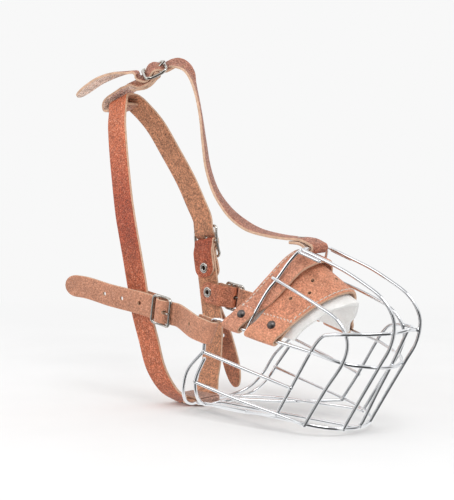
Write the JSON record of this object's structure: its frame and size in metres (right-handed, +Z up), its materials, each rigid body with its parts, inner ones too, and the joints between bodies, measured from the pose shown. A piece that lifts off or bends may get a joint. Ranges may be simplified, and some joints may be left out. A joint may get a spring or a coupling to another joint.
{
  "type": "basket muzzle",
  "caption": "Large dog basket muzzle: chrome wire basket with a felt-lined leather nose pad and a buckled leather harness of neck, cheek and forehead straps.",
  "frame": {"origin": "on the plane under the basket's floor wires, on the symmetry plane, 17 mm in front of the rear hoop's bottom run", "axes": "+X to the nose end, +Y to the animal's left, +Z up"},
  "size_m": [0.3602, 0.1255, 0.3146],
  "materials": {
    "chrome_wire": "bright plated round wire",
    "strap_leather": "reddish brown grain side, pale suede flesh side and cut edges",
    "pad_leather": "reddish brown grain with pale stitching",
    "felt": "white wool felt",
    "dark_rivet": "dark nickel dome",
    "nickel_rivet": "bright nickel tubular rivet",
    "nickel_buckle": "bright nickel plated rod"
  },
  "bodies": {
    "basket": {"nose_wire_right": "chrome_wire", "nose_wire_left": "chrome_wire", "cheek_wire_right": "chrome_wire", "cheek_wire_left": "chrome_wire", "center_wire": "chrome_wire", "mid_ring_wire": "chrome_wire", "upper_ring_wire": "chrome_wire", "side_rail_right": "chrome_wire", "side_rail_left": "chrome_wire", "lower_ring_wire": "chrome_wire", "nose_bridge_hoop": "chrome_wire", "rear_hoop_outer": "chrome_wire", "rear_hoop_inner": "chrome_wire", "floor_wire_right": "chrome_wire", "floor_wire_left": "chrome_wire", "throat_wire_right": "chrome_wire", "throat_wire_left": "chrome_wire", "bridge_stub_right": "chrome_wire", "bridge_stub_left": "chrome_wire", "nose_pad_band": "pad_leather", "nose_pad_leather": "pad_leather", "nose_pad_felt": "felt", "pad_rivets": "dark_rivet", "forehead_strap": "strap_leather", "forehead_rivet": "nickel_rivet", "cheek_strap_right": "strap_leather", "cheek_strap_left": "strap_leather"},
    "neck_loop": {"neck_strap": "strap_leather", "neck_rivet": "nickel_rivet", "crown_tab": "strap_leather", "cheek_tab_right": "strap_leather", "cheek_tab_left": "strap_leather", "cheek_rivet_right": "nickel_rivet", "cheek_rivet_left": "nickel_rivet", "chin_keeper": "strap_leather", "neck_buckle_frame": "nickel_buckle"},
    "cheek_buckle_right_frame": {"cheek_buckle_right_frame": "nickel_buckle"},
    "cheek_buckle_right_prong": {"cheek_buckle_right_prong": "nickel_buckle"},
    "cheek_buckle_left_frame": {"cheek_buckle_left_frame": "nickel_buckle"},
    "cheek_buckle_left_prong": {"cheek_buckle_left_prong": "nickel_buckle"},
    "neck_buckle_prong": {"neck_buckle_prong": "nickel_buckle"},
    "crown_buckle_frame": {"crown_buckle_frame": "nickel_buckle"},
    "crown_buckle_prong": {"crown_buckle_prong": "nickel_buckle"}
  },
  "joints": [
    {"name": "neck_loop_swing", "type": "hinge", "parent": "basket", "child": "neck_loop", "pos_m": [-0.017, 0, 0.0015], "axis": [0, 1, 0], "range_deg": [-12, 12], "deforming": ["forehead_strap", "cheek_strap_right", "cheek_strap_left"]},
    {"name": "cheek_buckle_right_frame_swing", "type": "hinge", "parent": "neck_loop", "child": "cheek_buckle_right_frame", "pos_m": [-0.0213, -0.0515, 0.086], "axis": [-0.1564, 0, -0.9877], "range_deg": [-5, 5]},
    {"name": "cheek_buckle_right_prong_lift", "type": "hinge", "parent": "cheek_buckle_right_frame", "child": "cheek_buckle_right_prong", "pos_m": [-0.0213, -0.0515, 0.086], "axis": [-0.1564, 0, -0.9877], "range_deg": [0, 8]},
    {"name": "cheek_buckle_left_frame_swing", "type": "hinge", "parent": "neck_loop", "child": "cheek_buckle_left_frame", "pos_m": [-0.0353, 0.052, 0.089], "axis": [0.1564, 0, 0.9877], "range_deg": [-5, 5]},
    {"name": "cheek_buckle_left_prong_lift", "type": "hinge", "parent": "cheek_buckle_left_frame", "child": "cheek_buckle_left_prong", "pos_m": [-0.0353, 0.052, 0.089], "axis": [0.1564, 0, 0.9877], "range_deg": [0, 8]},
    {"name": "neck_buckle_prong_lift", "type": "hinge", "parent": "neck_loop", "child": "neck_buckle_prong", "pos_m": [-0.067, 0.049, 0.139], "axis": [-0.9848, 0, -0.1736], "range_deg": [0, 8]},
    {"name": "crown_buckle_frame_swing", "type": "hinge", "parent": "neck_loop", "child": "crown_buckle_frame", "pos_m": [-0.084, 0, 0.298], "axis": [0.757, -0.5077, -0.4115], "range_deg": [-5, 5]},
    {"name": "crown_buckle_prong_lift", "type": "hinge", "parent": "crown_buckle_frame", "child": "crown_buckle_prong", "pos_m": [-0.084, 0, 0.298], "axis": [0.757, -0.5077, -0.4115], "range_deg": [0, 8]}
  ]
}
